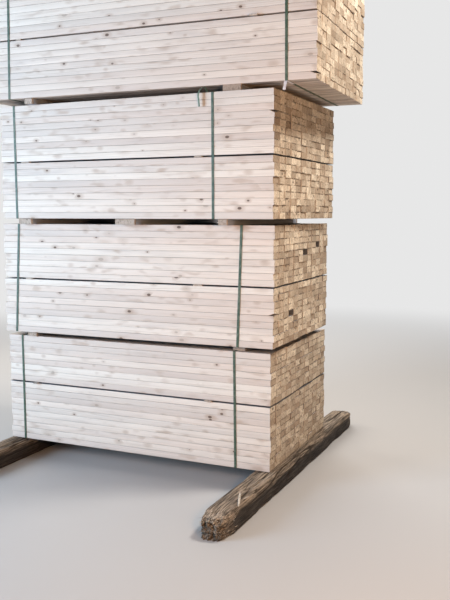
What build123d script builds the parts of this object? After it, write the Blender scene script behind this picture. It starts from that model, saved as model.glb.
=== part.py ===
from build123d import *
import os
import random

# Stack of planed softwood boards: four strapped packages on two old timbers.
# Millimetres. X runs along the boards, Y into the depth of the stack, +Z is up.
# The long face that is seen first looks towards -Y. The origin ends up under
# the middle of the whole stack, on the ground.

# Board section and the hair's breadth between neighbouring boards
BOARD_THICK = 38.0
BOARD_WIDE = 89.0
SIDE_GAP = 0.4
COURSE_GAP = 0.3
BOARDS_ACROSS = 12
EDGE_EASE = 2.0
# how far a board's two ends may lie off its package's ends
LEFT_STAGGER = 8.0
RIGHT_STAGGER = 4.0
STAGGER_SEED = 7
# boards cut short at their right end: package, course from the bottom, column from the front
SHORT_BOARDS = ((2, 4, 3), (2, 13, 6), (2, 14, 9))
SHORT_BY = 110.0
# front boards with a chip broken out of an edge at their right end: package, course from the bottom, edge
CHIPS = ((2, 5, "lower"), (3, 14, "upper"), (4, 0, "upper"))
CHIP_WIDE = 80.0
CHIP_HIGH = 15.0
CHIP_LONG = 32.0

# Packages from the ground up. Each value is for packages 1, 2, 3 and 4.
BOARD_LENGTHS = (1850.0, 1850.0, 1850.0, 2150.0)
LOWER_COURSE_COUNTS = (10, 9, 9, 9)
UPPER_COURSE_COUNTS = (8, 9, 9, 9)
# where the front right corner of each package stands, and how far it is turned
RIGHT_ENDS = (0.0, 30.0, 58.0, 286.0)
FRONT_FACES = (0.0, -40.0, -132.0, -113.0)
TURNS = (0.0, 0.6, -1.15, 1.2)

# Thin stickers between the two tiers of a package
STICKER_THICK = 8.0
STICKER_SPARE = 16.0
# for each package and side: width, distance of its middle from that end, how far it stands out in front
STICKERS = (
    {"left": (32.0, 214.0, 22.0), "right": (46.0, 393.0, 14.0)},
    {"left": (54.0, 189.0, 4.0), "right": (57.0, 469.0, 5.0)},
    {"left": (70.0, 186.0, 4.0), "right": (51.0, 454.0, 3.0)},
    {"left": (37.0, 273.0, 5.0), "right": (46.0, 345.0, 28.0)},
)

# Spacers laid flat between one package and the next
SPACER_THICK = 35.0
SPACER_LONG = 1160.0
# the package that the spacers of each gap lie square to
SPACERS_SQUARE_TO = (1, 3, 4)
# for each gap and place: width, distance of its middle from that end (or from the middle of the boards),
# how far it stands out in front
SPACERS = (
    {"left": (71.0, 190.0, 10.0), "right": (79.0, 213.0, -40.0)},
    {"left": (98.0, 172.0, 4.0), "middle": (136.0, 16.0, 3.0), "right": (54.0, 301.0, 5.0)},
    {"left": (58.0, 328.0, -4.0), "right": (110.0, 479.0, -6.0)},
)

# Plastic strapping, two loops round each package
STRAP_WIDE = 16.0
STRAP_THICK = 1.0
STRAP_CLEAR = 0.3
# for each package and side: distance of the strap's middle from that end at half its height,
# and how much further right it runs at the top than at the bottom
STRAPS = (
    {"left": (106.0, -2.0), "right": (222.0, -9.0)},
    {"left": (98.0, 39.0), "right": (206.0, 24.0)},
    {"left": (108.0, -3.0), "right": (362.0, -3.0)},
    {"left": (200.0, 14.0), "right": (167.0, -6.0)},
)

# Loose strap end on top of package 3: it lies flat beside the right strap, springs up in the gap,
# arches out over the front edge and hangs down
UPPER_TAIL_PACKAGE = 3
UPPER_TAIL_BESIDE = 6.0
UPPER_TAIL_TURN = 35.0
UPPER_TAIL_RUN = 64.0
UPPER_TAIL_FLAT = 18.0
UPPER_TAIL_UNDER = 7.0
UPPER_TAIL_REACH = 31.0
UPPER_TAIL_DROP = 78.0

# Loose strap end under package 4: forward under the right strap, then down in front
LOWER_TAIL_PACKAGE = 4
LOWER_TAIL_RUN = 120.0
LOWER_TAIL_REACH = 36.0
LOWER_TAIL_DROP = 52.0

# Two old timbers that carry the stack
BEARER_LONG = 2400.0
BEARER_WIDE = 160.0
BEARER_HIGH = 120.0
BEARER_TOP_ROUND = 26.0
BEARER_FOOT_ROUND = 12.0
# how much narrower and lower an end is worn, and how that wear runs out along the timber
BEARER_WORN_IN = 34.0
BEARER_WORN_DOWN = 26.0
BEARER_WORN_LONG = 120.0
BEARER_WORN_SHARES = ((0.0, 1.0), (0.3, 0.45), (1.0, 0.0))
# for each side: distance of its middle from that end of package 1, where its near end lies, turn
BEARERS = {
    "left": (60.0, -620.0, 0.0),
    "right": (28.0, -752.0, -0.7),
}

PACKAGE_WIDE = BOARDS_ACROSS * BOARD_WIDE + (BOARDS_ACROSS - 1) * SIDE_GAP
PACKAGES = range(1, len(BOARD_LENGTHS) + 1)


def tier_high(courses):
    """Height of a tier, from the underside of its first course to the top of its last."""
    return courses * BOARD_THICK + (courses - 1) * COURSE_GAP


def package_high(number):
    """Height of a package: two tiers with the stickers between them."""
    lower = tier_high(LOWER_COURSE_COUNTS[number - 1])
    upper = tier_high(UPPER_COURSE_COUNTS[number - 1])
    return lower + STICKER_THICK + upper


def package_base(number):
    """Height at which a package's underside lies."""
    below = sum(package_high(n) + SPACER_THICK for n in range(1, number))
    return BEARER_HIGH + below


def package_frame(number):
    """Place of a package's own frame: its front right bottom corner, turned with the package."""
    return Pos(RIGHT_ENDS[number - 1], FRONT_FACES[number - 1], package_base(number)) * Rot(
        0, 0, TURNS[number - 1]
    )


def along(length, side, distance):
    """Place along a package of something measured from its left end, its right end or its middle."""
    if side == "left":
        return -length + distance
    if side == "middle":
        return -length / 2 - distance
    return -distance


def board(length, column):
    """One board lying flat, its left end at x = 0. Outside columns show their eased long edges."""
    outline = Rectangle(BOARD_WIDE, BOARD_THICK, align=(Align.MIN, Align.MIN))
    if column == 0:
        outline = chamfer(outline.vertices().group_by(Axis.X)[0], EDGE_EASE)
    if column == BOARDS_ACROSS - 1:
        outline = chamfer(outline.vertices().group_by(Axis.X)[-1], EDGE_EASE)
    return extrude(Plane.YZ * outline, length)


def chip(edge):
    """The wood that is missing at a front edge: a wedge at the board's right end that runs out."""
    up = 1 if edge == "lower" else -1
    wedge = Polygon((0, 0), (CHIP_WIDE, 0), (0, up * CHIP_HIGH), align=None)
    return loft([Plane.YZ * wedge, Plane.YZ.offset(-CHIP_LONG) * scale(wedge, 0.02)])


def tier(number, first, courses, lift, shuffle):
    """Courses of boards side by side, their ends not quite in line."""
    boards = []
    chipped = {(package, course): edge for package, course, edge in CHIPS}
    for course in range(courses):
        z = lift + course * (BOARD_THICK + COURSE_GAP)
        for column in range(BOARDS_ACROSS):
            place = (number, first + course, column)
            left = -BOARD_LENGTHS[number - 1] + shuffle.uniform(-LEFT_STAGGER, LEFT_STAGGER)
            right = shuffle.uniform(-RIGHT_STAGGER, RIGHT_STAGGER)
            if place in SHORT_BOARDS:
                right -= SHORT_BY
            y = column * (BOARD_WIDE + SIDE_GAP)
            solid = Pos(left, y, z) * board(right - left, column)
            if column == 0 and (number, first + course) in chipped:
                edge = chipped[number, first + course]
                solid -= Pos(right, y, z + BOARD_THICK * (edge == "upper")) * chip(edge)
            boards.append(solid)
    return boards


def sticker(number, side):
    """A thin lath across the package, between its tiers, standing out a little in front."""
    width, distance, out = STICKERS[number - 1][side]
    lath = Box(
        width, PACKAGE_WIDE + STICKER_SPARE, STICKER_THICK, align=(Align.CENTER, Align.MIN, Align.MIN)
    )
    x = along(BOARD_LENGTHS[number - 1], side, distance)
    return Pos(x, -out, tier_high(LOWER_COURSE_COUNTS[number - 1])) * lath


def spacer(gap, side):
    """A flat board between two packages; the load has pressed the straps it crosses into its faces."""
    width, distance, out = SPACERS[gap - 1][side]
    square_to = SPACERS_SQUARE_TO[gap - 1]
    piece = Box(width, SPACER_LONG, SPACER_THICK, align=(Align.CENTER, Align.MIN, Align.MIN))
    x = along(BOARD_LENGTHS[square_to - 1], side, distance)
    lift = package_base(gap + 1) - SPACER_THICK - package_base(square_to)
    piece = package_frame(square_to) * Pos(x, -out, lift) * piece
    for number in (gap, gap + 1):
        for strap_side in STRAPS[number - 1]:
            piece -= package_frame(number) * strap_loop(number, strap_side, STRAP_CLEAR)
    return piece.solid()


def strap_outline(number, side, off):
    """Outline round a package at a distance off its boards, on a plane that leans with the strap."""
    lean = STRAPS[number - 1][side][1] / package_high(number)
    stretch = (1 + lean**2) ** 0.5
    wide = PACKAGE_WIDE + 2 * off
    high = (package_high(number) + 2 * off) * stretch
    cut = EDGE_EASE + (2 - 2**0.5) * off
    outline = chamfer(Rectangle(wide, high).vertices(), cut)
    return Plane((0, 0, 0), x_dir=(0, 1, 0), z_dir=(1, 0, -lean)) * outline


def strap_loop(number, side, spare=0.0):
    """A flat band pulled tight round both tiers, bent over the eased edges of the corner boards."""
    inner = strap_outline(number, side, STRAP_CLEAR - spare)
    outer = strap_outline(number, side, STRAP_CLEAR + STRAP_THICK + spare)
    band = extrude(outer - inner, STRAP_WIDE / 2 + spare, dir=(1, 0, 0), both=True)
    x = along(BOARD_LENGTHS[number - 1], side, STRAPS[number - 1][side][0])
    return Pos(x, PACKAGE_WIDE / 2, package_high(number) / 2) * band


def strap_end(points):
    """A loose strap end in the YZ plane: flat from the first point to the second, then curling down."""
    flat = Line(points[0], points[1])
    curl = Spline(points[1:], tangents=[(-1, 0), (0.1, -1)])
    path = Plane.YZ * (flat + curl)
    section = Plane(path @ 0, x_dir=(1, 0, 0), z_dir=path % 0) * Rectangle(STRAP_WIDE, STRAP_THICK)
    return sweep(section, path)


def upper_tail():
    """The loose end on top of a package, turned away from its strap and arching over the edge."""
    inset, lean = STRAPS[UPPER_TAIL_PACKAGE - 1]["right"]
    lift = package_high(UPPER_TAIL_PACKAGE) + STRAP_CLEAR + STRAP_THICK / 2
    rise = SPACER_THICK - UPPER_TAIL_UNDER
    points = (
        (UPPER_TAIL_RUN, 0),
        (UPPER_TAIL_RUN - UPPER_TAIL_FLAT, 0),
        (UPPER_TAIL_RUN / 5, rise),
        (-UPPER_TAIL_REACH * 0.9, 0),
        (-UPPER_TAIL_REACH, -UPPER_TAIL_DROP * 0.4),
        (-UPPER_TAIL_REACH * 0.8, -UPPER_TAIL_DROP),
    )
    end = Rot(0, 0, -UPPER_TAIL_TURN) * strap_end(points)
    beside = inset - lean / 2 + STRAP_WIDE / 2 + UPPER_TAIL_BESIDE
    return Pos(-beside - end.bounding_box().max.X, 0, lift) * end


def lower_tail():
    """The loose end under a package, against the strap there, hanging down in front."""
    inset, lean = STRAPS[LOWER_TAIL_PACKAGE - 1]["right"]
    lift = -2 * STRAP_CLEAR - 1.5 * STRAP_THICK
    points = (
        (LOWER_TAIL_RUN, 0),
        (0, 0),
        (-LOWER_TAIL_REACH * 0.7, -LOWER_TAIL_DROP / 2),
        (-LOWER_TAIL_REACH, -LOWER_TAIL_DROP),
    )
    return Pos(-inset - lean / 2, 0, lift) * strap_end(points)


def bearer_section(worn):
    """Outline of a bearer across its length, with its foot on the ground; worn is 0 to 1."""
    wide = BEARER_WIDE - 2 * BEARER_WORN_IN * worn
    high = BEARER_HIGH - BEARER_WORN_DOWN * worn
    outline = Pos(0, high / 2) * Rectangle(wide, high)
    corners = outline.vertices().sort_by(Axis.Y)
    outline = fillet(corners[2:], BEARER_TOP_ROUND)
    return fillet(outline.vertices().sort_by(Axis.Y)[:2], BEARER_FOOT_ROUND)


def bearer(side):
    """A squared old timber, its ends worn away, with any strap that lies on it pressed into its top."""
    distance, near, turn = BEARERS[side]
    stations = [(share * BEARER_WORN_LONG, worn) for share, worn in BEARER_WORN_SHARES]
    stations += [(BEARER_LONG - y, worn) for y, worn in reversed(stations)]
    outlines = [Plane.XZ.offset(-y) * bearer_section(worn) for y, worn in stations]
    timber = loft(outlines, ruled=True)
    x = RIGHT_ENDS[0] + along(BOARD_LENGTHS[0], side, distance)
    timber = Pos(x, 0, 0) * Rot(0, 0, turn) * Pos(0, near, 0) * timber
    for strap_side in STRAPS[0]:
        timber -= package_frame(1) * strap_loop(1, strap_side, STRAP_CLEAR)
    return timber.solid()


def build_package(number, shuffle):
    """The sub-parts of one package by name, in the package's own frame."""
    lower = LOWER_COURSE_COUNTS[number - 1]
    lift = tier_high(lower) + STICKER_THICK
    name = f"package_{number}"
    parts = {f"{name}_lower_tier": tier(number, 0, lower, 0, shuffle)}
    parts[f"{name}_upper_tier"] = tier(number, lower, UPPER_COURSE_COUNTS[number - 1], lift, shuffle)
    for side in STICKERS[number - 1]:
        parts[f"{name}_sticker_{side}"] = [sticker(number, side)]
    for side in STRAPS[number - 1]:
        parts[f"{name}_strap_{side}"] = [strap_loop(number, side)]
    if number == UPPER_TAIL_PACKAGE:
        parts[f"{name}_strap_end"] = [upper_tail()]
    if number == LOWER_TAIL_PACKAGE:
        parts[f"{name}_strap_end"] = [lower_tail()]
    return parts


def build_stack():
    """Every sub-part by name, in place."""
    shuffle = random.Random(STAGGER_SEED)
    parts = {f"bearer_{side}": [bearer(side)] for side in BEARERS}
    for number in PACKAGES:
        frame = package_frame(number)
        for name, solids in build_package(number, shuffle).items():
            parts[name] = [frame * solid for solid in solids]
    for gap, places in enumerate(SPACERS, start=1):
        for side in places:
            parts[f"spacer_{gap}_{gap + 1}_{side}"] = [spacer(gap, side)]
    return parts


def stand_on_origin(parts):
    """Move everything so that the origin is on the ground, under the middle of the whole stack."""
    whole = Compound([solid for solids in parts.values() for solid in solids]).bounding_box()
    middle = whole.center()
    shift = Pos(-middle.X, -middle.Y, -whole.min.Z)
    return {name: [shift * solid for solid in solids] for name, solids in parts.items()}


os.makedirs("parts", exist_ok=True)
for name, solids in stand_on_origin(build_stack()).items():
    shape = solids[0] if len(solids) == 1 else Compound(solids)
    export_step(shape, f"parts/{name}.step")
    print(name, len(solids))
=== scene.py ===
# %% [markdown]
# # A stack of planed boards
# Four strapped packages of pale softwood boards stand on two old timbers. The sizes and places come from
# the packed CAD model, which is the fixed frame. This lesson builds what the eye sees on it: eased board
# edges, growth rings on the ends, long grain and small knots on the faces, rough laths, green plastic
# strapping and two weathered timbers.

# %% Load the frame
import bpy
import bmesh
import math
import random
from mathutils import Matrix, Vector, noise


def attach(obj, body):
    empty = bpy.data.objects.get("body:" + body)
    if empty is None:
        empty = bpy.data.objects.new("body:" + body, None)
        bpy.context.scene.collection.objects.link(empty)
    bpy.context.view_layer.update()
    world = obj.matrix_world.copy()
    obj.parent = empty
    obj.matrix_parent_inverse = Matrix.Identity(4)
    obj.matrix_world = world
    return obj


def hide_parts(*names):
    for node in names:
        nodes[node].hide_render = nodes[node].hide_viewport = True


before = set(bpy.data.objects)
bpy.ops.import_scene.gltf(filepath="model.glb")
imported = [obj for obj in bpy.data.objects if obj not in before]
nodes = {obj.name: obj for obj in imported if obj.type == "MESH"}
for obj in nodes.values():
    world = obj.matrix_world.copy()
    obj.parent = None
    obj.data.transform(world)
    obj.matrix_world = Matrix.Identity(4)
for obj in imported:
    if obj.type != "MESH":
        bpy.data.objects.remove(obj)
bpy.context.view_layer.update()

# %% [markdown]
# ## Camera
# The stack is seen from its front right, from about eye height. A camera in Blender looks down its own
# -Z, so it is tipped up by a right angle less its dip, then turned about the vertical. The image is 450
# wide and 600 high. The sensor's 36 mm go with the longer side, so the focal length in pixels over 600,
# times 36, is the lens.

# %% Camera
IMAGE_HIGH = 600
SENSOR_MM = 36
FOCAL_PIXELS = 778.3
EYE = (2.330, -4.623, 1.616)
DIP = 6.36
TURN = 23.81

lens_data = bpy.data.cameras.new("viewpoint")
viewpoint = bpy.data.objects.new("viewpoint", lens_data)
bpy.context.scene.collection.objects.link(viewpoint)
viewpoint.location = EYE
viewpoint.rotation_euler = (math.radians(90 - DIP), 0, math.radians(TURN))
lens_data.lens = FOCAL_PIXELS / IMAGE_HIGH * SENSOR_MM
bpy.context.scene.camera = viewpoint
print("lens", round(lens_data.lens, 1), "mm")

# %% [markdown]
# ## Light
# Planed pine is very pale, so the light is kept at a level where a colour renders about as it is
# written. Boards that stand out a little cast shadows both to the left and to the right, upwards on the top
# package and downwards on the lowest. That needs two lamps in front, at half the stack's height: a wide,
# cool one at the left and a small, warm one at the right. A third lamp stands high at the right and lights
# the board ends, most strongly at the top. It also throws the dark band under the top package, which
# stands out over the one below. Two soft ones light the back, the top and the left ends, out of sight here.

# %% Light
def lamp(name, place, aim, size, power, colour):
    """A square area lamp that faces a point."""
    data = bpy.data.lights.new(name, "AREA")
    data.size = size
    data.energy = power
    data.color = colour
    obj = bpy.data.objects.new(name, data)
    obj.location = place
    obj.rotation_euler = (Vector(aim) - Vector(place)).to_track_quat("-Z", "Y").to_euler()
    bpy.context.scene.collection.objects.link(obj)


lamp("wide_lamp", (-3.5, -4.7, 2.0), (-0.4, -0.5, 1.5), 2.6, 374, (0.52, 0.74, 1.0))
lamp("small_lamp", (2.75, -3.4, 1.7), (0.3, -0.5, 1.5), 0.5, 62, (1.0, 0.57, 0.28))
lamp("end_lamp", (3.1, 0.3, 5.0), (1.0, 0.0, 2.2), 0.9, 190, (1.0, 0.96, 0.91))
lamp("back_lamp", (-2.2, 5.6, 4.6), (0.0, 0.5, 1.5), 4.0, 330, (1.0, 0.97, 0.94))
lamp("side_lamp", (-4.6, 1.4, 3.0), (-1.0, 0.2, 1.4), 2.0, 80, (1.0, 0.90, 0.78))

# %% [markdown]
# ## Surroundings
# The world fills in what the lamps leave dark. A bright world would wash the shadows out, so its light is
# weak, and a pale backdrop comes from a second colour that only the camera's own rays meet. The view
# transform is Standard, which shows a colour as it is.

# %% Surroundings
FILL_COLOUR = (1.0, 0.97, 0.95)
FILL_STRENGTH = 0.18
BACKDROP = (0.80, 0.80, 0.80)

world = bpy.data.worlds.new("surroundings")
bpy.context.scene.world = world
world.use_nodes = True
tree = world.node_tree
soft = tree.nodes["Background"]
soft.inputs["Color"].default_value = (*FILL_COLOUR, 1)
soft.inputs["Strength"].default_value = FILL_STRENGTH
seen = tree.nodes.new("ShaderNodeBackground")
seen.inputs["Color"].default_value = (*BACKDROP, 1)
either = tree.nodes.new("ShaderNodeMixShader")
rays = tree.nodes.new("ShaderNodeLightPath")
tree.links.new(rays.outputs["Is Camera Ray"], either.inputs[0])
tree.links.new(soft.outputs[0], either.inputs[1])
tree.links.new(seen.outputs[0], either.inputs[2])
tree.links.new(either.outputs[0], tree.nodes["World Output"].inputs["Surface"])
bpy.context.scene.view_settings.view_transform = "Standard"
print("nodes in the world", len(tree.nodes))

# %% [markdown]
# ## Writing materials as sums
# A material's node tree is hard to read as a list of nodes. Here a socket is wrapped in a small class, and
# Python's own operators add the Math nodes, so a shader reads like the formula that it is.

# %% Terms
class Term:
    """A number that changes over a surface."""

    def __init__(self, tree, socket):
        self.tree = tree
        self.socket = socket

    def math(self, operation, *others, first=None):
        """Add a Math node on this term and others. A first term goes before this one."""
        step = self.tree.nodes.new("ShaderNodeMath")
        step.operation = operation
        terms = (self, *others) if first is None else (first, self)
        for socket, term in zip(step.inputs, terms):
            if isinstance(term, Term):
                self.tree.links.new(term.socket, socket)
            else:
                socket.default_value = term
        return Term(self.tree, step.outputs[0])

    def __add__(self, other):
        return self.math("ADD", other)

    def __radd__(self, other):
        return self.math("ADD", first=other)

    def __sub__(self, other):
        return self.math("SUBTRACT", other)

    def __rsub__(self, other):
        return self.math("SUBTRACT", first=other)

    def __mul__(self, other):
        return self.math("MULTIPLY", other)

    def __rmul__(self, other):
        return self.math("MULTIPLY", first=other)

    def __truediv__(self, other):
        return self.math("DIVIDE", other)

    def __pow__(self, other):
        return self.math("POWER", other)


print("a term can", [name.strip("_") for name in vars(Term) if callable(vars(Term)[name])])

# %% [markdown]
# ## Finishes
# A finish is a material in the making. Colours and vectors have nodes of their own, Mix and Vector Math,
# because a Math node would turn a colour grey. Every other node comes from one method, which sets
# the node's type and settings first and then its sockets, since some sockets only appear with a setting.

# %% Finishes
class Finish:
    """A material in the making: its node tree, its shader, and a way to add any node."""

    def __init__(self, name, roughness, specular=0.35):
        self.material = bpy.data.materials.new(name)
        self.material.use_nodes = True
        self.tree = self.material.node_tree
        self.shader = self.tree.nodes["Principled BSDF"]
        self.shader.inputs["Roughness"].default_value = roughness
        self.shader.inputs["Specular IOR Level"].default_value = specular

    def fill(self, socket, value):
        """Link a term to a socket, or set a plain value on it."""
        if isinstance(value, Term):
            self.tree.links.new(value.socket, socket)
        elif isinstance(value, tuple) and len(value) < len(socket.default_value):
            socket.default_value = (*value, 1)
        else:
            socket.default_value = value

    def node(self, kind, settings=None, output=0, **sockets):
        """Add a node: its type, its settings, then values or links for its sockets by name."""
        step = self.tree.nodes.new("ShaderNode" + kind)
        for key, value in (settings or {}).items():
            setattr(step, key, value)
        for key, value in sockets.items():
            self.fill(step.inputs[key.replace("_", " ")], value)
        return Term(self.tree, step.outputs[output])

    def others(self, term, *outputs):
        """Further outputs of the node that a term comes from."""
        return [Term(self.tree, term.socket.node.outputs[output]) for output in outputs]

    def data(self, name, output):
        """A value stored on the mesh: output 0 is its colour, 1 its vector, 2 its number."""
        return self.node("Attribute", {"attribute_name": name}, output)

    def mix(self, share, low, high):
        """A colour between two colours."""
        step = self.tree.nodes.new("ShaderNodeMix")
        step.data_type = "RGBA"
        for place, value in ((0, share), (6, low), (7, high)):
            self.fill(step.inputs[place], value)
        return Term(self.tree, step.outputs[2])

    def coats(self, base, *coats):
        """Lay colours over a base one after another, each with its share."""
        for share, colour in coats:
            base = self.mix(share, base, colour)
        return base

    def stretch(self, place, factors):
        """Scale a place, so that noise in it runs longer one way than another."""
        step = self.tree.nodes.new("ShaderNodeVectorMath")
        step.operation = "MULTIPLY"
        self.fill(step.inputs[0], place)
        self.fill(step.inputs[1], factors)
        return Term(self.tree, step.outputs[0])

    def cloud(self, place, factors, detail=2, roughness=0.5):
        """Soft noise between 0 and 1, so many of its spots to a metre each way."""
        return self.node(
            "TexNoise", None, 0,
            Vector=self.stretch(place, factors), Scale=1.0, Detail=detail, Roughness=roughness,
        )

    def between(self, term, low, high):
        """0 below low, 1 above high and a smooth rise in between."""
        return self.node(
            "MapRange", {"interpolation_type": "SMOOTHSTEP"}, 0,
            Value=term, From_Min=low, From_Max=high, To_Min=0.0, To_Max=1.0,
        )

    def finish(self, colour, roughness=None, height=None, distance=0.001, strength=1.0):
        """Link colour, roughness and relief to the shader."""
        self.fill(self.shader.inputs["Base Color"], colour)
        if roughness is not None:
            self.fill(self.shader.inputs["Roughness"], roughness)
        if height is not None:
            bump = self.node("Bump", None, 0, Strength=strength, Distance=distance, Height=height)
            self.fill(self.shader.inputs["Normal"], bump)
        return self.material


def darker(colour, share):
    """This share of a colour."""
    return tuple(c * share for c in colour)


print("a finish can", [name.strip("_") for name in vars(Finish) if callable(vars(Finish)[name])])

# %% [markdown]
# ## Growth rings and knots
# A board is cut out of a log, so its pattern is not a picture on its faces: the growth rings are tubes
# round the log's heart, and each face shows where it cuts them. On the ends they are arcs, on the faces
# long lines. So every board carries, at each point of its mesh, that point's place in its
# own log: x along the log, y and z out from the heart. The rings are then the distance from the heart,
# and faces and ends match by themselves. Knots are balls scattered in the same space, drawn out a little
# along the log. Most are too small to show. The dark ones are dead branches and the pale ones live
# ones, and both have a faint halo where the grain bends round them.

# %% Rings and knots
RING_WIDE = 0.0042
DARK_KNOTS = {"factors": (0.60, 1.0, 1.0), "spacing": 0.062, "small": 0.003, "large": 0.010, "share": 0.42}
PALE_KNOTS = {"factors": (0.45, -0.9, 0.9), "spacing": 0.075, "small": 0.003, "large": 0.011, "share": 0.50}


def heart_distance(wood, place):
    """How far a place lies from the heart of its log."""
    x = wood.node("SeparateXYZ", None, 0, Vector=place)
    y, z = wood.others(x, 1, 2)
    return (y * y + z * z).math("SQRT")


def rings(wood, place):
    """Growth rings: 0 in the pale spring wood, 1 at the narrow dark line that ends a year."""
    wander = wood.cloud(place, (0.9, 11, 11))
    years = heart_distance(wood, place) / RING_WIDE + wander * 6
    return years.math("FRACT") ** 3.0


def knots(wood, place, factors, spacing, small, large, share):
    """Knots and their halos, as two masks. Only this share of the balls is a knot."""
    distance = wood.node("TexVoronoi", None, 0, Vector=wood.stretch(place, factors), Scale=1 / spacing)
    colour, = wood.others(distance, 1)
    luck = wood.node("SeparateColor", None, 0, Color=colour)
    chosen = wood.node(
        "MapRange", None, 0, Value=luck, From_Min=1 - share, From_Max=1.0, To_Min=small, To_Max=large
    ) * luck.math("GREATER_THAN", 1 - share)
    reach = chosen / spacing + 0.0001
    return 1 - wood.between(distance, reach * 0.7, reach), 1 - wood.between(distance, reach, reach * 3.2)


print("width of a ring", RING_WIDE)

# %% [markdown]
# ## Sawn ends
# The ends are more yellow and rougher than the long faces, and no two are alike, so they look like a
# mosaic. The saw leaves short dark strokes and pits, and it breaks fibres out along the rim, in clumps that
# run over many boards. So the torn rims follow a place in the stack, and the rest a place in the log. The
# ends get darker towards the bottom of the stack, with more specks and torn rims, and the top package has
# fewer torn rims.

# %% Sawn ends
DARKER_BELOW = (0.3, 1.0)
FEWER_RIMS_ABOVE = (2.3, 2.4)
EASED = 1.0
UNLIT_FROM = 1.5


def end_grain(wood, place, ring, edge, shade, stained, pale, dark):
    """The sawn end of a board: its own tone, rings, strokes of the saw, pits, a broken rim, and painted shade
    on ends that lie deep in a hole.
    """
    where = wood.node("TexCoord", None, 3)
    x = wood.node("SeparateXYZ", None, 0, Vector=place)
    y, z = wood.others(x, 1, 2)
    height = wood.node("SeparateXYZ", None, 2, Vector=where)
    # Ends darker towards the bottom of the stack.
    low_down = 1 - wood.between(height, *DARKER_BELOW)
    flat = wood.node("CombineXYZ", None, 0, X=y * 0.65, Y=z, Z=0.0)
    distance = wood.node("TexVoronoi", {"voronoi_dimensions": "2D"}, 0, Vector=flat, Scale=17.0)
    luck = wood.node("SeparateColor", None, 0, Color=wood.others(distance, 1)[0])
    broad = wood.cloud(place, (0.6, 34, 42), 3, 0.6)
    fine = wood.cloud(place, (0.6, 330, 230), 3, 0.75)
    pit = 1 - wood.between(distance + fine * 0.16 - luck ** 3.0 * 0.27, 0.0, 0.05)
    upright = wood.between(wood.cloud(place, (0.6, 120, 22), 3, 0.7), 0.52, 0.66)
    level = wood.between(wood.cloud(place, (0.6, 40, 150), 3, 0.7), 0.58, 0.66)
    patch = wood.between(wood.cloud(where, (2, 7, 9), 3, 0.6), 0.42, 0.66)
    # Fewer torn rims on the top package.
    on_top_package = wood.between(height, *FEWER_RIMS_ABOVE)
    tearing = wood.cloud(where, (2, 10, 17), 2, 0.6) - on_top_package * 0.10 + low_down * 0.06
    torn = wood.between(tearing, 0.43, 0.55)
    broken = wood.between(wood.cloud(where, (2, 40, 70), 3, 0.7), 0.38, 0.54) * torn
    speck = wood.between(wood.cloud(place, (0.6, 95, 80), 3, 0.7), 0.54, 0.64)
    deep = darker(dark, 0.30)
    brown = darker(dark, 0.55)

    colour = wood.coats(
        pale,
        (shade ** 1.5 * 0.85, dark),
        (stained * 0.70, brown),
        (ring * 0.30, dark),
        (wood.between(broad, 0.42, 0.66) * 0.45, dark),
        (patch * 0.20, brown),
        (wood.between(fine, 0.48, 0.74) * 0.35, brown),
        # Towards the bottom: more specks and a brown coat, so the ends darken downwards.
        (speck * (low_down * 0.25 + 0.62), brown),
        (low_down * 0.25, brown),
        (upright * 0.45 + level * 0.55, deep),
        ((edge * (broken * 1.7 + 0.05)).math("MINIMUM", 0.92), deep),
        # Ends of the short boards, deep in their holes, are painted nearly black: painted shade.
        (wood.between(edge, UNLIT_FROM, 2.5) * 0.9, darker(dark, 0.15)),
        (pit * 0.85, deep),
    )
    return colour, fine * 0.6 - level * 0.5 - pit - edge * broken


print("ends darker up to", DARKER_BELOW[1], "m")

# %% [markdown]
# ## Planed pine
# The long faces are cream, some pinker and some greyer, with smudges a hand long and hair-thin streaks.
# Dust settles in the eased edges, which draws the lines between the courses. Each board has three numbers
# of its own, its tint, because no two come from the same tree. Where the mesh says that a face hardly sees
# any light, the finish goes towards a dark grey.

# %% Planed pine
def pine(name, pale, ruddy, grey, late, knot, end_pale, end_dark, sawn=0.0, unseen=(0.11, 0.12, 0.14)):
    """Softwood, planed or rough sawn. Late is the colour of the summer wood that ends a year."""
    wood = Finish(name, 0.62)
    place = wood.data("log", 1)
    red = wood.node("SeparateColor", None, 0, Color=wood.data("tint", 0))
    shade, stained = wood.others(red, 1, 2)
    end = wood.data("end", 2)
    edge = wood.data("edge", 2)
    ring = rings(wood, place)
    stain = wood.cloud(place, (1.6, 13, 13), 3, 0.6)
    smudge = wood.cloud(place, (8, 24, 24), 1, 0.5)
    streak = wood.cloud(place, (2.4, 190, 190), 4, 0.65)
    dust = wood.cloud(place, (2.6, 30, 30), 2, 0.5)
    dark_knot, dark_halo = knots(wood, place, **DARK_KNOTS)
    pale_knot, pale_halo = knots(wood, place, **PALE_KNOTS)

    face = wood.coats(
        pale,
        (red, ruddy),
        (wood.between(shade, 0.40, 0.95) * 0.45, grey),
        (wood.between(stain, 0.42, 0.72) * (stained * 0.6 + 0.25), grey),
        (wood.between(smudge, 0.58, 0.78) * (stained * 0.4 + 0.38), late),
        (ring * (shade * 0.30 + 0.10), late),
        (wood.between(streak, 0.50, 0.76) * 0.40, late),
        (dark_halo * 0.50 + pale_halo * 0.30, late),
        (pale_knot * 0.45, darker(late, 0.60)),
        (dark_knot * 0.9, knot),
        (edge.math("MINIMUM", EASED) * (wood.between(dust, 0.42, 0.66) * 0.55 + 0.05), darker(late, 0.42)),
        (wood.between(edge, UNLIT_FROM, 2.6) * 0.94, unseen),
    )
    cut, cut_relief = end_grain(wood, place, ring, edge, shade, stained, end_pale, end_dark)
    cut = wood.mix(dark_knot * 0.9, cut, knot)
    relief = ring * 0.25 + streak * (0.5 + sawn) - dark_knot * 0.4 + cut_relief * end
    rough = 0.55 + end * 0.2 + streak * 0.1
    return wood.finish(wood.mix(end, face, cut), rough, relief, 0.0006 + sawn * 0.001, 0.55)


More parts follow.
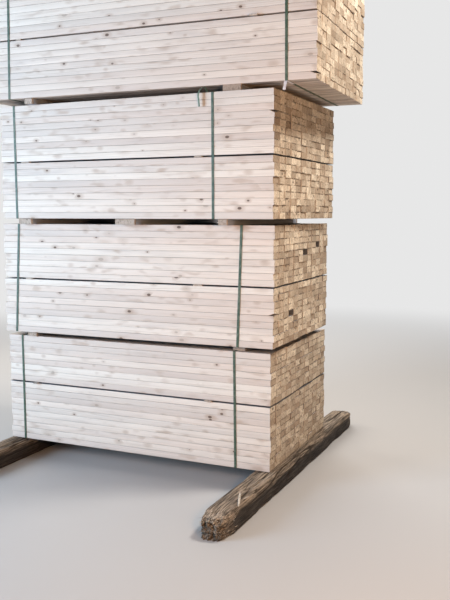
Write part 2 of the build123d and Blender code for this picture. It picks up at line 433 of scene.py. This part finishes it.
planed_pine = pine(
    "planed_pine",
    pale=(0.86, 0.765, 0.655), ruddy=(0.81, 0.67, 0.56), grey=(0.61, 0.53, 0.47), late=(0.48, 0.345, 0.25),
    knot=(0.12, 0.07, 0.045), end_pale=(0.96, 0.83, 0.64), end_dark=(0.43, 0.31, 0.21),
)
print("nodes in planed pine", len(planed_pine.node_tree.nodes))

# %% [markdown]
# ## Reading the boards from the frame
# The CAD model holds each tier as one mesh of many boards. After its doubled corners are merged, each
# board is an island of its own. Each package stands a little askew, by an angle in degrees. Turned back
# by it, an island fills a straight box, and that box is all it takes to build a finer board in its place.

# %% Reading the boards from the frame
TURNS = {1: 0.0, 2: 0.6, 3: -1.15, 4: 1.2}


def islands(node):
    """The separate solids of a CAD node, each as a list of corners."""
    mesh = bmesh.new()
    mesh.from_mesh(nodes[node].data)
    bmesh.ops.remove_doubles(mesh, verts=mesh.verts, dist=1e-6)
    seen = set()
    found = []
    for start in mesh.verts:
        if start in seen:
            continue
        group = [start]
        seen.add(start)
        for vert in group:
            for edge in vert.link_edges:
                other = edge.other_vert(vert)
                if other not in seen:
                    seen.add(other)
                    group.append(other)
        found.append([v.co.copy() for v in group])
    mesh.free()
    return found


def straight_boxes(node, turn):
    """Each solid's box after turning it back, as lowest and highest corner."""
    back = Matrix.Rotation(-math.radians(turn), 3, "Z")
    boxes = []
    for corners in islands(node):
        turned = [back @ c for c in corners]
        low = Vector([min(c[i] for c in turned) for i in range(3)])
        high = Vector([max(c[i] for c in turned) for i in range(3)])
        boxes.append((low, high))
    return boxes


print("boards in one tier", len(straight_boxes("package_1_lower_tier", TURNS[1])))

# %% [markdown]
# ## From lists to an object
# The wooden pieces are all made in the same way: lists of points and faces become a mesh, which is turned
# with its package. The finishes need to know more than a place: where in its log a point lies, which tint
# its board has, whether it is on a sawn end. Such values are kept on the mesh as attributes, one for
# each point, under the names that the finishes read.

# %% From lists to an object
FIELDS = {"FLOAT": "value", "FLOAT_VECTOR": "vector", "FLOAT_COLOR": "color"}


class Shell:
    """Points and faces that become an object, with values for each point."""

    kinds = {}

    def __init__(self):
        self.points = []
        self.faces = []
        self.values = {label: [] for label in self.kinds}

    def band(self, a, b, count):
        """Join two rows of points with faces."""
        for i in range(count):
            j = (i + 1) % count
            self.faces.append((a + i, a + j, b + j, b + i))

    def build(self, name, turn, material, sharp):
        """Make the object. Edges sharper than an angle in degrees are shown sharp."""
        mesh = bpy.data.meshes.new(name)
        turned = Matrix.Rotation(math.radians(turn), 3, "Z")
        mesh.from_pydata([turned @ p for p in self.points], [], self.faces)
        for label, kind in self.kinds.items():
            values = self.values[label]
            if kind != "FLOAT":
                values = [part for value in values for part in value]
            mesh.attributes.new(label, kind, "POINT").data.foreach_set(FIELDS[kind], values)
        mesh.shade_smooth()
        mesh.set_sharp_from_angle(angle=math.radians(sharp))
        mesh.materials.append(material)
        obj = bpy.data.objects.new(name, mesh)
        bpy.context.scene.collection.objects.link(obj)
        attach(obj, "root")
        return obj


print("kinds of value on a point", list(FIELDS))

# %% [markdown]
# ## A pile of sticks
# There are hundreds of boards, so all those of a tier go into one mesh. Each stick is a row of outlines
# from its left end to its right end, with a flat face on either end. The ends get points of their own, so
# that the material can tell them from the long faces, and a narrow rim, so that it can break their edges.
# On the long faces the same value marks the eased edges, and above 1.5 it says how little light a face
# gets. Chance picks where in its log a stick was cut.

# %% A pile of sticks
RIM = 0.0045
BESIDE_HEART = 0.13
BELOW_HEART = (0.03, 0.04)
LEAST_BELOW = 0.02
ALONG_LOG = 40
ASKEW = 0.012
SHARP_BOARD = 50


def inset(row, by):
    """A row of points drawn in towards its middle, by the same breadth on all four sides."""
    low = [min(p[i] for p in row) for i in range(3)]
    high = [max(p[i] for p in row) for i in range(3)]
    points = []
    for p in row:
        moved = p.copy()
        for i in (1, 2):
            middle = (low[i] + high[i]) / 2
            moved[i] = middle + (p[i] - middle) * max(0.3, 1 - 2 * by / (high[i] - low[i] + 1e-6))
        points.append(moved)
    return points


class Pile(Shell):
    """Sticks of wood in one mesh, with each point's place in its log and its stick's tint."""

    kinds = {"log": "FLOAT_VECTOR", "tint": "FLOAT_COLOR", "end": "FLOAT", "edge": "FLOAT"}

    def add(self, rows, centre, chance, weights, right_rim=EASED):
        """Add one stick given as rows of points round it, from its left end to its right end."""
        across = chance.uniform(-BESIDE_HEART, BESIDE_HEART)
        below = -abs(chance.gauss(*BELOW_HEART)) - LEAST_BELOW
        lean_y = chance.uniform(-ASKEW, ASKEW)
        lean_z = chance.uniform(-ASKEW, ASKEW)
        slide = chance.uniform(0, ALONG_LOG)
        tint = (chance.random(), chance.random(), chance.random() ** 3, 1)
        flip = chance.choice((-1, 1))

        def put(points, end, edge):
            """Add a row of points and say where it starts."""
            start = len(self.points)
            for point in points:
                x, y, z = point - centre
                log = (x + slide, y - across + lean_y * x, flip * z - below + lean_z * x)
                self.values["log"].append(log)
            self.points += points
            self.values["tint"] += [tint] * len(points)
            self.values["end"] += [end] * len(points)
            self.values["edge"] += edge
            return start

        count = len(rows[0])
        starts = [put(row, 0.0, edge) for row, edge in zip(rows, weights)]
        for a, b in zip(starts, starts[1:]):
            self.band(a, b, count)
        left = put(rows[0], 1.0, [EASED] * count)
        left_inner = put(inset(rows[0], RIM), 1.0, [0.0] * count)
        right = put(rows[-1], 1.0, [right_rim] * count)
        right_inner = put(inset(rows[-1], RIM), 1.0, [right_rim - EASED] * count)
        self.band(left_inner, left, count)
        self.band(right, right_inner, count)
        self.faces.append(tuple(left_inner + i for i in reversed(range(count))))
        self.faces.append(tuple(right_inner + i for i in range(count)))


print("rim on a sawn end", RIM * 1000, "mm")

# %% [markdown]
# ## A board with eased edges
# A planer leaves a board's long edges slightly round, and that is what draws the thin lines between the
# courses: light catches one side of each groove and misses the other. The outline is a rectangle with
# an arc at each corner. A few front boards have a chip broken out of an edge at their right end: there
# the arc of that corner opens into a slanting line.

# %% The outline of a board
CORNERS = ((-1, -1), (1, -1), (1, 1), (-1, 1))
EDGE_ROUND = 0.0017
ARC_STEPS = 3
CHIP_WIDE = 0.080
CHIP_HIGH = 0.015


def rounded_outline(wide, high, radii, steps, lift=0.0):
    """Points round a rectangle that has an arc at each corner."""
    points = []
    for corner, ((sy, sz), radius) in enumerate(zip(CORNERS, radii)):
        cy = sy * (wide / 2 - radius)
        cz = lift + sz * (high / 2 - radius)
        for step in range(steps + 1):
            angle = math.pi + corner * math.pi / 2 + step / steps * math.pi / 2
            points.append((cy + radius * math.cos(angle), cz + radius * math.sin(angle)))
    return points


def chipped(outline, wide, high, chip, share):
    """The outline with its front lower or upper corner cut off by a slanting line."""
    cut = list(outline)
    for step in range(ARC_STEPS + 1):
        t = step / ARC_STEPS
        y = -wide / 2 + CHIP_WIDE * share * t
        z = -high / 2 + CHIP_HIGH * share * (1 - t)
        if chip == "lower":
            cut[step] = (y, z)
        else:
            cut[-1 - step] = (y, -z)
    return cut


print("points round a board", len(rounded_outline(0.089, 0.038, [EDGE_ROUND] * 4, ARC_STEPS)))

# %% [markdown]
# ## Adding a board
# The outline is repeated at a few stations along the board. No board is quite straight, so each one bows
# by a fraction of a millimetre, and the outside ones lie a hair in or out of line. Only those get
# stations between their ends, because inside the package no bow shows. A face is told by the points that
# bound it, of the 16 in the outline. Close to the ends all faces stay light, as some light comes in there.

# %% Adding a board
BOW = 0.0006
OUT_OF_LINE = 0.0016
SLACK = 0.999
LIT_LONG = 0.005
CHIP_LONG = 0.032
FLAT = 0.1
# Weight on the ends of short boards, which makes them take the painted shade.
SHORT_END_SHADE = 4.0
FACE_POINTS = {
    "front": (15, 0), "below": (3, 4), "back": (7, 8), "above": (11, 12),
    "gap_below": (1, 2, 3, 4, 5, 6), "gap_above": (9, 10, 11, 12, 13, 14),
}


def add_board(pile, low, high, chance, outside, short, hidden, chip):
    """One planed board between two corners. Outside is 1 at the front, -1 at the back and 0 within."""
    centre = (low + high) / 2
    size = high - low
    outline = rounded_outline(size.y, size.z, [EDGE_ROUND] * 4, ARC_STEPS)
    bow = chance.uniform(-1, 1) * BOW
    inward = chance.uniform(0, OUT_OF_LINE) * outside
    near_end = LIT_LONG / size.x
    shares = [0.0, near_end, 1 - near_end, 1.0]
    if outside:
        shares = sorted(shares + [0.2, 0.4, 0.6, 0.8])
    if chip:
        shares = sorted(shares + [1 - CHIP_LONG * part / size.x for part in (0.3, 0.6, 1.0)])
    rows = []
    for t in shares:
        shift = bow * math.sin(math.pi * t) + inward
        share = 1 - (1 - t) * size.x / CHIP_LONG
        ring = chipped(outline, size.y, size.z, chip, share) if chip and share > 0.03 else outline
        x = low.x + t * size.x
        rows.append([Vector((x, centre.y + y * SLACK + shift, centre.z + z * SLACK)) for y, z in ring])
    lit = [FLAT, EASED, EASED, FLAT] * 4
    dark = list(lit)
    for face, weight in hidden.items():
        for point in FACE_POINTS[face]:
            dark[point] = weight
            if face.startswith("gap"):
                lit[point] = weight
    pile.add(rows, centre, chance, [lit] + [dark] * (len(rows) - 2) + [lit], SHORT_END_SHADE if short else EASED)


print("faces and gaps", list(FACE_POINTS))

# %% [markdown]
# ## Faces that never see light
# In the real stack the gaps between boards, tiers and packages are nearly black. Here they would stay grey,
# since pale wood passes light on, and wider gaps would be wrong. So each board is told which of its faces
# lie inside. Where some light comes into a gap, a face is only partly dark.

# %% Faces that never see light
UNLIT = 3.0
INNER_LEDGE = 2.3
OUTER_LEDGE = 1.8
TOP_PACKAGE_GAP = 1.9


def hidden_faces(number, part, in_front, at_back, at_foot, at_top):
    """Which faces of a board hardly see light, and how dark they are, from 1.5, lit, to 3, fully dark."""
    ledge = OUTER_LEDGE if in_front or at_back else INNER_LEDGE
    gap = UNLIT if number < 4 else TOP_PACKAGE_GAP
    hidden = {}
    if not in_front:
        hidden["front"] = UNLIT
    if not at_back:
        hidden["back"] = UNLIT
    if not at_foot:
        hidden["below"] = UNLIT
    elif part == "upper":
        hidden["gap_below"] = gap
    elif number > 1:
        hidden["below"] = ledge if number < 4 else OUTER_LEDGE
    if not at_top:
        hidden["above"] = UNLIT
    elif part == "lower":
        hidden["gap_above"] = gap
    elif number < 4:
        hidden["above"] = ledge
    return hidden


print("a board in the middle", hidden_faces(1, "lower", False, False, False, False))

# %% [markdown]
# ## Building the tiers
# Each tier replaces its CAD node, which stays for the physics. The boards are sorted before they are
# built, so that the seeded chance gives the same board the same tint in every run. Three boards in package
# 2 are shorter than the rest, so their ends lie deep in a hole, and those whole ends, rims and all, are
# painted dark as painted shade.

# %% Building the tiers
SAME_PLANE = 0.01
COURSE_HIGH = 0.0383
SHORT_BY = 0.05
CHIPS = {
    ("package_2_lower_tier", 5): "lower",
    ("package_3_upper_tier", 5): "upper",
    ("package_4_lower_tier", 0): "upper",
}

for number, turn in TURNS.items():
    for part in ("lower", "upper"):
        node = f"package_{number}_{part}_tier"
        boxes = straight_boxes(node, turn)
        front = min(low.y for low, high in boxes)
        back = max(high.y for low, high in boxes)
        foot = min(low.z for low, high in boxes)
        top = max(high.z for low, high in boxes)
        right = max(high.x for low, high in boxes)
        chance = random.Random(node)
        pile = Pile()
        for low, high in sorted(boxes, key=lambda box: (round(box[0].z, 3), round(box[0].y, 3))):
            in_front = low.y - front < SAME_PLANE
            at_back = back - high.y < SAME_PLANE
            at_foot = low.z - foot < SAME_PLANE
            at_top = top - high.z < SAME_PLANE
            hidden = hidden_faces(number, part, in_front, at_back, at_foot, at_top)
            chip = CHIPS.get((node, round((low.z - foot) / COURSE_HIGH))) if in_front else None
            add_board(pile, low, high, chance, in_front - at_back, right - high.x > SHORT_BY, hidden, chip)
        tier = pile.build(f"{node}_boards", turn, planed_pine, SHARP_BOARD)
        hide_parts(node)
        print(node, len(boxes), "boards")

# %% [markdown]
# ## Stickers and spacers
# Stickers and spacers are sawn, not planed, and used many times, so they are darker, dirtier and rougher,
# with corners knocked off. The same function makes their finish, with other colours and deeper saw marks.
# Their long sides lie in the gaps, and the light there is cold, so the dark of a spacer is bluer.

# %% Stickers and spacers
used_lath = pine(
    "used_lath",
    pale=(0.66, 0.57, 0.49), ruddy=(0.56, 0.46, 0.37), grey=(0.44, 0.40, 0.36), late=(0.38, 0.27, 0.19),
    knot=(0.12, 0.07, 0.04), end_pale=(0.74, 0.64, 0.54), end_dark=(0.50, 0.38, 0.28), sawn=0.6,
)
used_spacer = pine(
    "used_spacer",
    pale=(0.62, 0.53, 0.45), ruddy=(0.54, 0.43, 0.35), grey=(0.42, 0.38, 0.35), late=(0.36, 0.25, 0.17),
    knot=(0.12, 0.07, 0.04), end_pale=(0.66, 0.55, 0.45), end_dark=(0.44, 0.33, 0.25), sawn=0.6,
    unseen=(0.27, 0.31, 0.38),
)
print("finishes", [material.name for material in (used_lath, used_spacer)])

# %% [markdown]
# ## Building the sticks
# A rough saw leaves a face that is not quite flat, so noise moves each point a little to the side. A stick
# is drawn along x, as a board is, and then turned a quarter round. A spacer lies square to the package
# below or above it, and it is turned with that one.

# %% Building the sticks
STICK_STEPS = 24
STICK_ENDS = 0.02
# Long sides of stickers and spacers, all but their last 20 mm, are painted dark as painted shade.
STICK_SIDES = 2.4
SQUARE_TO = {"1": 1, "2": 3, "3": 4}


def sawn_stick(name, node, turn, material, rough):
    """A rough-sawn stick across the stack, in place of its plain solid. Rough is its rounding and wander."""
    low, high = straight_boxes(node, turn)[0]
    centre = (low + high) / 2
    size = high - low
    outline = rounded_outline(size.x, size.z, [rough] * 4, 2)
    count = len(outline)
    near_end = STICK_ENDS / size.y
    stations = [0.0, near_end] + [step / STICK_STEPS for step in range(1, STICK_STEPS)] + [1 - near_end, 1.0]
    rows = []
    for station in stations:
        y = low.y + station * size.y
        row = []
        for x, z in outline:
            push = noise.noise(Vector((x * 9, y * 6, z * 30 + centre.x))) * rough - rough * 0.5
            row.append(Vector((y - centre.y, -x * (1 + push / (size.x / 2)), z)))
        rows.append(row)
    pile = Pile()
    weights = [[0.0] * count] + [[STICK_SIDES] * count] * (len(rows) - 2) + [[0.0] * count]
    pile.add(rows, Vector((0, 0, 0)), random.Random(node), weights)
    pile.points = [Vector((centre.x - p.y, centre.y + p.x, centre.z + p.z)) for p in pile.points]
    stick = pile.build(name, turn, material, SHARP_BOARD)
    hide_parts(node)


for node in sorted(nodes):
    words = node.split("_")
    if "sticker" in words:
        sawn_stick(f"{node}_lath", node, TURNS[int(words[1])], used_lath, 0.0012)
    if "spacer" in words:
        sawn_stick(f"{node}_board", node, TURNS[SQUARE_TO[words[1]]], used_spacer, 0.002)
print("stickers and spacers", len([node for node in nodes if "sticker" in node or "spacer" in node]))

# %% [markdown]
# ## Strapping
# Plastic strapping is a flat green band, rolled with a fine waffle pattern so that it grips. The high
# spots are rubbed paler and the hollows hold dust. The band's shape is right in the frame already, so the
# frame's own solids keep their place and only get this finish. The loose end on package 3 is painted a
# paler green as a painted highlight, and the one under the top package is painted whitish, with hardly any
# waffle, as a painted reflection.

# %% Strapping
DENTS_TO_A_METRE = 135.0


def strapping(name, deep, worn, dusty, waffle=0.6):
    """Embossed plastic band: a waffle of small dents, dust and rubbed spots."""
    band = Finish(name, 0.42, 0.45)
    where = band.node("TexCoord", None, 3)
    dent = band.node("TexVoronoi", {"feature": "F1"}, 0, Vector=where, Scale=DENTS_TO_A_METRE, Randomness=0.1)
    rub = band.cloud(where, (70, 70, 46), 3, 0.6)
    dust = band.cloud(where, (14, 14, 9), 3, 0.6)
    colour = band.coats(
        deep,
        (band.between(rub, 0.46, 0.62) * 0.75, worn),
        (band.between(dust, 0.46, 0.72) * 0.55, dusty),
        (band.between(dent, 0.25, 0.60) * waffle, darker(deep, 0.5)),
    )
    return band.finish(colour, 0.36 + dust * 0.25, dent, 0.0004, 0.7)


green_strapping = strapping("green_strapping", (0.062, 0.105, 0.058), (0.22, 0.26, 0.17), (0.30, 0.30, 0.21))
# Paler green for package 3's loose end: a painted highlight.
painted_highlight_strapping = strapping("painted_highlight_strapping", (0.13, 0.20, 0.12), (0.34, 0.40, 0.28), (0.40, 0.42, 0.32))
# Whitish for the end under the top package: a painted reflection.
painted_reflection_strapping = strapping("painted_reflection_strapping", (0.82, 0.74, 0.72), (0.88, 0.82, 0.80), (0.76, 0.68, 0.66), 0.15)
LOOSE_ENDS = {"package_3_strap_end": painted_highlight_strapping, "package_4_strap_end": painted_reflection_strapping}
for node, obj in nodes.items():
    if "strap" in node:
        obj.data.materials.clear()
        obj.data.materials.append(LOOSE_ENDS.get(node, green_strapping))
print("straps", len([node for node in nodes if "strap" in node]))

# %% [markdown]
# ## Weathered timber
# The two timbers lie on the ground in all weathers and get knocked about. Their sides are dark and grey,
# partly with dirt and partly as painted shade, and the top is a worn brown, partly from scuffing and partly
# as painted light from above. Torn fibres are pale. Each point of the mesh says how worn and lit from above
# it is painted and how deep it lies in a split, where the colour goes nearly black as painted shade. Noise
# that runs long along the log gives the fibres, because bare wood weathers along its grain.

# %% Weathered timber finish
timber = Finish("weathered_timber", 0.85, 0.2)
spot = timber.data("log", 1)
depth = timber.data("depth", 2)
fresh = timber.data("fresh", 2)
fibre = timber.cloud(spot, (6, 130, 130), 5, 0.75)
coarse = timber.cloud(spot, (3, 34, 34), 3, 0.65)
patch = timber.cloud(spot, (5, 9, 9), 4, 0.65)
# Dark grey sides: dirt and painted shade.
soil_and_shade = timber.mix(timber.between(fibre, 0.38, 0.66), (0.020, 0.017, 0.015), (0.075, 0.062, 0.053))
scuffed_and_lit = timber.mix(timber.between(fibre, 0.38, 0.64), (0.068, 0.052, 0.040), (0.43, 0.335, 0.245))
torn = timber.mix(timber.between(fibre, 0.30, 0.60), (0.34, 0.26, 0.19), (0.74, 0.64, 0.52))
surface = timber.coats(
    soil_and_shade,
    # Worn brown near the ends from scuffing, and on the top also painted light.
    (timber.between(fresh + patch * 0.7 - 0.35, 0.10, 0.55), scuffed_and_lit),
    (timber.between(coarse, 0.44, 0.66) * 0.45, soil_and_shade),
    (timber.between(fresh + fibre * 0.5 - 0.25, 0.62, 0.90), torn),
    # Deep in a split the colour goes nearly black: painted shade.
    (timber.between(depth, 0.10, 0.75) * 0.85, (0.020, 0.014, 0.010)),
)
weathered = timber.finish(surface, None, fibre + coarse * 0.6, 0.005, 0.9)
print("nodes in weathered timber", len(weathered.node_tree.nodes))

# %% [markdown]
# ## The timbers' outline
# A box with a noise modifier would look like a lump of clay, since wood splits along its length. So the
# surface is a skin of stations and points round it. The outline narrows towards each end as it does in
# the frame, quickly over the last third of the worn length and gently before it.

# %% The timbers' outline
TIMBER_TURNS = {"bearer_left": 0.0, "bearer_right": -0.7}
TIMBER_ROUND = (0.012, 0.012, 0.026, 0.026)
TIMBER_ARC = 8
AROUND = 128
WORN_IN = 0.034
WORN_DOWN = 0.026
WORN_LONG = 0.120
QUICK_PART, QUICK_WEAR = 0.3, 0.55
GENTLE_PART, GENTLE_WEAR = 0.7, 0.45


def wear(distance):
    """How worn a timber is at a distance from its nearer end, from 1 to 0."""
    near = distance / WORN_LONG
    if near < QUICK_PART:
        return 1 - near / QUICK_PART * QUICK_WEAR
    return max(0.0, GENTLE_WEAR * (1 - (near - QUICK_PART) / GENTLE_PART))


def timber_outline(wide, high):
    """Points round a timber, evenly spaced, with a rounder top than foot."""
    corners = [Vector(point) for point in rounded_outline(wide, high, TIMBER_ROUND, TIMBER_ARC, high / 2)]
    lengths = [(b - a).length for a, b in zip(corners, corners[1:] + corners[:1])]
    total = sum(lengths)
    points = []
    reach = 0.0
    place = 0
    for index in range(AROUND):
        target = index / AROUND * total
        while reach + lengths[place] < target:
            reach += lengths[place]
            place += 1
        a, b = corners[place], corners[(place + 1) % len(corners)]
        points.append(a.lerp(b, (target - reach) / lengths[place]))
    return points


print("points round a timber", len(timber_outline(0.16, 0.12)))

# %% [markdown]
# ## Splits and broken ends
# Each point is only ever pushed inwards. A split is a long thin line: noise that is stretched along the
# timber crosses zero on just such lines, so the depth is greatest where the noise is near zero. At an end
# the fibres have broken off at different lengths, in bundles. So there a point slides along the timber, by
# an amount that depends only on where it lies in the section.

# %% Splits and broken ends
BROKEN_LONG = 0.17


def split_depth(x, z, y, seed):
    """0 on sound wood, up to 1 at the bottom of a split."""
    slow = noise.noise(Vector((x * 16 + seed, z * 16, y * 1.1)))
    fast = noise.noise(Vector((x * 40, z * 40 + seed, y * 2.1 + 7)))
    open_here = max(0.0, noise.noise(Vector((x * 5, z * 5 + seed, y * 1.7 + 3))) + 0.35)
    lines = max(0.0, 1 - abs(slow) / 0.07) + 0.6 * max(0.0, 1 - abs(fast) / 0.08)
    return min(1.0, lines * min(1.0, open_here * 1.6))


def broken_off(x, z, seed):
    """How much shorter than the timber a fibre is at its end."""
    bundle = noise.noise(Vector((x * 42 + seed, z * 55, 1.0)))
    thread = noise.noise(Vector((x * 120, z * 150 + seed, 2.0)))
    return 0.030 * max(0.0, bundle + 0.25) + 0.026 * max(0.0, thread)


print("a fibre in the middle is short by", round(broken_off(0, 0.06, 3.0), 4))

# %% [markdown]
# ## A timber's skin
# A timber is a shell too, with values of its own. A torn fibre is a tube of four sides that starts and ends
# nearly pointed and bends up a little.

# %% A timber's skin
SLIVER_OUTLINE = ((-1, -1), (1, -1), (0.9, 0.6), (-0.5, 1.0))
SLIVER_STEPS = 4


class Skin(Shell):
    """The surface of a timber, with how deep each point lies, and how worn it is with painted light from
    above added on top.
    """

    kinds = {"log": "FLOAT_VECTOR", "depth": "FLOAT", "fresh": "FLOAT"}

    def put(self, point, depth, fresh):
        """Add a point. In its log, x runs along the timber."""
        self.points.append(point)
        self.values["log"].append((point.y, point.x, point.z))
        self.values["depth"].append(depth)
        self.values["fresh"].append(fresh)

    def sliver(self, a, b, wide, thick, fresh):
        """A thin torn fibre that tapers from a to b."""
        count = len(SLIVER_OUTLINE)
        side = (b - a).cross(Vector((0.1, 0.05, 1))).normalized()
        up = side.cross(b - a).normalized()
        starts = []
        for step in range(SLIVER_STEPS + 1):
            t = step / SLIVER_STEPS
            taper = max(0.08, math.sin(math.pi * (0.18 + 0.80 * t)))
            middle = a.lerp(b, t) + up * 0.10 * (b - a).length * t * (1 - t)
            starts.append(len(self.points))
            for y, z in SLIVER_OUTLINE:
                self.put(middle + side * wide / 2 * taper * y + up * thick / 2 * taper * z, 0.0, fresh)
        self.faces.append(tuple(starts[0] + i for i in reversed(range(count))))
        for c, d in zip(starts, starts[1:]):
            self.band(c, d, count)
        self.faces.append(tuple(starts[-1] + i for i in range(count)))


print("sides of a sliver", len(SLIVER_OUTLINE))

# %% [markdown]
# ## The body of a timber
# The stations lie close together near the ends, where the wood is worn and broken. At an end the outline
# shrinks in steps to nearly a point, which closes the skin with enough points for the broken fibres to
# show. The top, where loads are slid on and off, is worn the most, and it is also painted lighter as painted
# light from above.

# %% The body of a timber
CLOSE_STATIONS = [0.0, 0.003, 0.007, 0.012, 0.018, 0.025, 0.033, 0.042, 0.052, 0.064, 0.078, 0.094, 0.112]
MIDDLE_PARTS = 160
END_SHRINKS = (0.97, 0.89, 0.79, 0.68, 0.57, 0.46, 0.35, 0.24, 0.14, 0.06)
SPLIT_DEEP = 0.0085
RIPPLE_DEEP = 0.0018
DENT_DEEP = 0.010
DARK_WHEN_SHORT = 0.060
SCUFFED_LONG = 0.22


def timber_stations(long):
    """Places along a timber, each with how far the outline has shrunk there."""
    middle = [WORN_LONG + step * (long - 2 * WORN_LONG) / MIDDLE_PARTS for step in range(MIDDLE_PARTS + 1)]
    far = [long - y for y in reversed(CLOSE_STATIONS)]
    stations = [(0.0, shrink) for shrink in END_SHRINKS]
    stations += [(y, 0.0) for y in CLOSE_STATIONS + middle + far]
    return stations + [(long, shrink) for shrink in reversed(END_SHRINKS)]


def worn_outline(wide, tall, distance, less_wide=0.0, less_tall=0.0):
    """The outline at a distance from the nearer end."""
    worn = wear(distance)
    return timber_outline(wide - 2 * WORN_IN * worn - less_wide, tall - WORN_DOWN * worn - less_tall)


def add_body(skin, wide, long, tall, seed):
    """The timber itself, with its splits and broken ends."""
    stations = timber_stations(long)
    for y, shrink in stations:
        from_end = min(y, long - y)
        centre = Vector((0, (tall - WORN_DOWN * wear(from_end)) / 2))
        for point in worn_outline(wide, tall, from_end):
            deep = split_depth(point.x, point.y, y, seed)
            ripple = 0.5 + 0.5 * noise.noise(Vector((point.x * 60, point.y * 60 + seed, y * 5)))
            dent = max(0.0, noise.noise(Vector((point.x * 18, point.y * 18 + seed, y * 6))) - 0.1)
            cut = SPLIT_DEEP * deep + RIPPLE_DEEP * ripple + DENT_DEEP * dent
            inward = centre - point
            moved = point + inward.normalized() * min(cut, inward.length * 0.5)
            if point.y < 0.001:
                moved.y = 0.0
            moved = moved.lerp(centre, shrink)
            short = broken_off(moved.x, moved.y, seed) * max(0.0, 1 - from_end / BROKEN_LONG)
            # Fibres broken off shorter lie deeper in the end and are painted darker: painted shade.
            if shrink:
                deep = min(0.45, short / DARK_WHEN_SHORT)
            # Painted light: towards the top the timber is painted lighter, as if lit from above, on top of
            # the wear near the ends.
            top = max(0.0, min(1.0, (moved.y / tall - 0.62) / 0.25))
            fresh = 0.10 + 0.40 * top + 0.22 * max(0.0, 1 - from_end / SCUFFED_LONG) + 0.12 * (shrink > 0)
            along = y + short * (1 if y < long / 2 else -1)
            skin.put(Vector((moved.x, along, max(0.0, moved.y))), deep, fresh)
    rows = len(stations)
    skin.faces.append(tuple(range(AROUND)))
    for row in range(rows - 1):
        skin.band((row + 1) * AROUND, row * AROUND, AROUND)
    skin.faces.append(tuple(reversed(range((rows - 1) * AROUND, rows * AROUND))))


print("stations along a timber", len(timber_stations(2.4)))

# %% [markdown]
# ## Torn fibres
# The near ends carry torn fibres: thin slivers that stand off the wood in all directions, but mostly along
# it. They are too many to place by hand, so seeded chance scatters them. The few that show one by one, such
# as the pale one across the top of the right timber, are listed.

# %% Torn fibres
FIBRES = 190
FIRST_FIBRE = 0.004
FIBRES_LONG = 0.15
LAID = {
    "bearer_left": (((0.02, 0.10, 0.1185), (0.05, 0.22, 0.121), 0.006, 0.003),),
    "bearer_right": (
        ((0.067, 0.205, 0.1185), (-0.006, 0.395, 0.1225), 0.013, 0.005),
        ((0.055, 0.300, 0.1215), (0.066, 0.360, 0.1185), 0.004, 0.002),
    ),
}


def add_fibres(skin, wide, tall, chance):
    """Torn fibres near the near end, rooted just under the surface."""
    for _ in range(FIBRES):
        y = FIRST_FIBRE + FIBRES_LONG * chance.random() ** 2
        point = worn_outline(wide, tall, y, 0.006, 0.004)[chance.randrange(AROUND)]
        if point.y < TIMBER_ROUND[0]:
            continue
        away = (point - Vector((0, tall * 0.4))).normalized() * chance.uniform(0.0, 0.35)
        along = chance.choice((-1, 1, -1))
        heading = Vector((away.x, along, away.y + chance.uniform(-0.1, 0.3))).normalized()
        start = Vector((point.x, y, point.y))
        stop = start + heading * chance.uniform(0.010, 0.045)
        stop.y = max(stop.y, 0.001)
        stop.z = min(max(stop.z, 0.003), tall)
        wide_here = chance.uniform(0.0012, 0.0034)
        thick_here = chance.uniform(0.0008, 0.0016)
        skin.sliver(start, stop, wide_here, thick_here, chance.uniform(0.5, 1.1))


print("slivers laid by hand", sum(len(laid) for laid in LAID.values()))

# %% [markdown]
# ## Building the timbers
# Each timber has its own seed, so that the two don't look alike. It is built in its own frame, with the
# origin at the middle of its near foot, and then put where the CAD's solid lies.

# %% Building the timbers
SEEDS = {"bearer_left": 41.0, "bearer_right": 3.0}
SHARP_TIMBER = 70

for node, turn in TIMBER_TURNS.items():
    low, high = straight_boxes(node, turn)[0]
    wide, long, tall = high - low
    skin = Skin()
    add_body(skin, wide, long, tall, SEEDS[node])
    add_fibres(skin, wide, tall, random.Random(node))
    for start, stop, across, thick in LAID[node]:
        skin.sliver(Vector(start), Vector(stop), across, thick, 1.1)
    place = Vector(((low.x + high.x) / 2, low.y, low.z))
    skin.points = [point + place for point in skin.points]
    timber_object = skin.build(f"{node}_wood", turn, weathered, SHARP_TIMBER)
    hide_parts(node)
    print(node, len(timber_object.data.polygons), "faces")

# %% [markdown]
# ## Floor
# A plain pale floor is not part of the object. It takes the shadow near the
# stack, and further out it fades into the pale surroundings, for the camera only.

# %% Floor
FLOOR_COLOUR = (0.50, 0.49, 0.48)
FADES_OVER = (3.0, 9.0)

bpy.ops.mesh.primitive_plane_add(size=60, location=(0, 0, 0))
floor = bpy.context.object
floor.name = "floor"
paving = Finish("pale_floor", 0.9, 0.2)
paving.shader.inputs["Base Color"].default_value = (*FLOOR_COLOUR, 1)
across = paving.node("TexCoord", None, 3)
outwards = paving.node("VectorMath", {"operation": "LENGTH"}, 1, Vector=across)
glow = paving.node("Emission", None, 0, Color=BACKDROP, Strength=1.0)
camera_ray = paving.node("LightPath", None, 0)
blend = paving.tree.nodes.new("ShaderNodeMixShader")
paving.fill(blend.inputs[0], paving.between(outwards, *FADES_OVER) * camera_ray)
paving.tree.links.new(paving.shader.outputs[0], blend.inputs[1])
paving.tree.links.new(glow.socket, blend.inputs[2])
paving.tree.links.new(blend.outputs[0], paving.tree.nodes["Material Output"].inputs["Surface"])
floor.data.materials.append(paving.material)
print("floor", floor.dimensions[:2])

# %% [markdown]
# The dressed model has to stay inside the CAD model's box.
